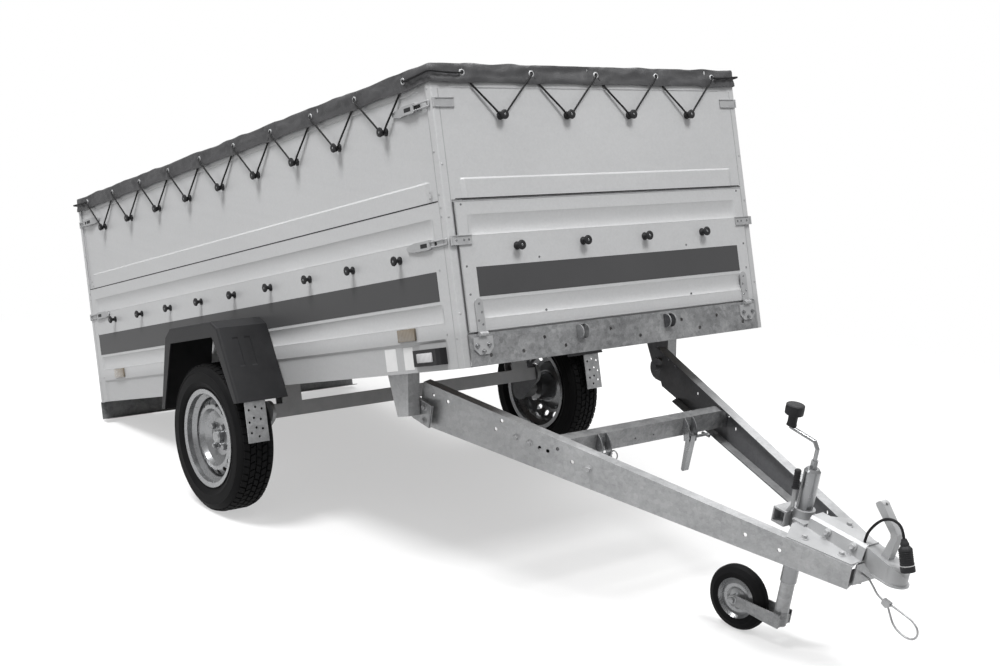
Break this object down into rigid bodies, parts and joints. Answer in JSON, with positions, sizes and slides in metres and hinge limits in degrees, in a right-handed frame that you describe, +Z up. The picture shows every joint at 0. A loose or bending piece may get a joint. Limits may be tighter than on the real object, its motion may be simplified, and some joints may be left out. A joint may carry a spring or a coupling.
{
  "type": "utility trailer",
  "caption": "Tipping box trailer with profiled walls, extension boards, a laced flat cover, V drawbar, ball coupling and jockey wheel.",
  "frame": {"origin": "on the floor under the middle of the trailer, cable left out", "axes": "+X forward along the drawbar, +Y to the left, +Z up"},
  "size_m": [4.0139, 1.692, 1.6261],
  "materials": {
    "galvanised": "zinc-coated sheet, satin grey",
    "galvanised_frame": "hot-dip galvanised, spangled",
    "zinc_plated": "bright zinc plating",
    "rim_silver": "silver lacquer, satin",
    "tyre": "matt black rubber",
    "black_plastic": "black, fine grain",
    "cover": "coated tarpaulin, dark grey, satin",
    "cord": "black elastic cord",
    "steel_rope": "bare wire rope",
    "plywood": "film-faced plywood, brown",
    "lamp_red": "red lens"
  },
  "bodies": {
    "box": {"axle_beam": "galvanised_frame", "corner_latches": "zinc_plated", "corner_posts_lower": "galvanised", "corner_posts_upper": "galvanised", "cover_sheet": "cover", "extension_front": "galvanised", "extension_rear": "galvanised", "extension_side_left": "galvanised", "extension_side_right": "galvanised", "fender_brackets": "galvanised_frame", "fender_left": "black_plastic", "fender_right": "black_plastic", "floor_crossmembers": "galvanised_frame", "floor_panel": "plywood", "front_crossmember": "galvanised_frame", "gate_hinge_leaves": "zinc_plated", "lashing_cord": "cord", "marker_lamps": "black_plastic", "pivot_posts": "galvanised_frame", "rear_crossmember": "galvanised_frame", "rear_lamp_carrier": "galvanised_frame", "rear_lamps": "lamp_red", "rope_hooks": "black_plastic", "side_wall_left": "galvanised", "side_wall_right": "galvanised", "torsion_arms": "galvanised_frame"},
    "front_gate": {"front_gate": "galvanised", "front_gate_fittings": "zinc_plated", "front_gate_hooks": "black_plastic"},
    "tailgate": {"tailgate": "galvanised", "tailgate_fittings": "zinc_plated", "tailgate_hooks": "black_plastic"},
    "wheel_right": {"wheel_tyre_right": "tyre", "wheel_rim_right": "rim_silver", "wheel_hub_right": "zinc_plated"},
    "wheel_left": {"wheel_tyre_left": "tyre", "wheel_rim_left": "rim_silver", "wheel_hub_left": "zinc_plated"},
    "drawbar": {"pivot_eyes": "galvanised_frame", "drawbar_arm_right": "galvanised_frame", "drawbar_arm_left": "galvanised_frame", "drawbar_crossbar": "galvanised_frame", "drawbar_front_plate": "galvanised_frame", "tilt_locks": "zinc_plated", "coupling_bracket": "galvanised_frame", "coupling_head": "zinc_plated", "coupling_handle": "zinc_plated", "plug": "black_plastic", "plug_cable": "cord", "safety_cable": "steel_rope", "safety_loop": "steel_rope", "safety_ferrule": "steel_rope", "jack_clamp": "zinc_plated", "jack_outer_tube": "zinc_plated", "jack_crank": "zinc_plated"},
    "jack_leg": {"jack_leg": "zinc_plated"},
    "jack_fork": {"jack_fork": "zinc_plated"},
    "jockey_wheel": {"jockey_tyre": "tyre", "jockey_rim": "rim_silver"}
  },
  "joints": [
    {"name": "wheel_right_spin", "type": "hinge", "parent": "box", "child": "wheel_right", "pos_m": [-0.40123, -0.765, 0.267], "axis": [0, 1, 0], "continuous": true},
    {"name": "wheel_left_spin", "type": "hinge", "parent": "box", "child": "wheel_left", "pos_m": [-0.40123, 0.765, 0.267], "axis": [0, 1, 0], "continuous": true},
    {"name": "bed_tilt", "type": "hinge", "parent": "box", "child": "drawbar", "pos_m": [0.47665, 0, 0.54685], "axis": [0, 1, 0], "range_deg": [-23.5, 8]},
    {"name": "front_gate_hinge", "type": "hinge", "parent": "box", "child": "front_gate", "pos_m": [0.85047, 0, 0.84986], "axis": [0, 1, 0], "range_deg": [0, 90]},
    {"name": "tailgate_hinge", "type": "hinge", "parent": "box", "child": "tailgate", "pos_m": [-1.77854, 0, 0.16955], "axis": [0, -1, 0], "range_deg": [0, 95]},
    {"name": "jack_slide", "type": "slide", "parent": "drawbar", "child": "jack_leg", "axis": [0.1563, 0, 0.9877], "range_m": [-0.09, 0.085]},
    {"name": "jack_swivel", "type": "hinge", "parent": "jack_leg", "child": "jack_fork", "pos_m": [1.56601, 0, 0.10517], "axis": [0.1563, 0, 0.9877], "continuous": true},
    {"name": "jockey_wheel_spin", "type": "hinge", "parent": "jack_fork", "child": "jockey_wheel", "pos_m": [1.41883, -0.02032, 0.10011], "axis": [-0.1375, 0.9903, 0.0218], "continuous": true}
  ]
}
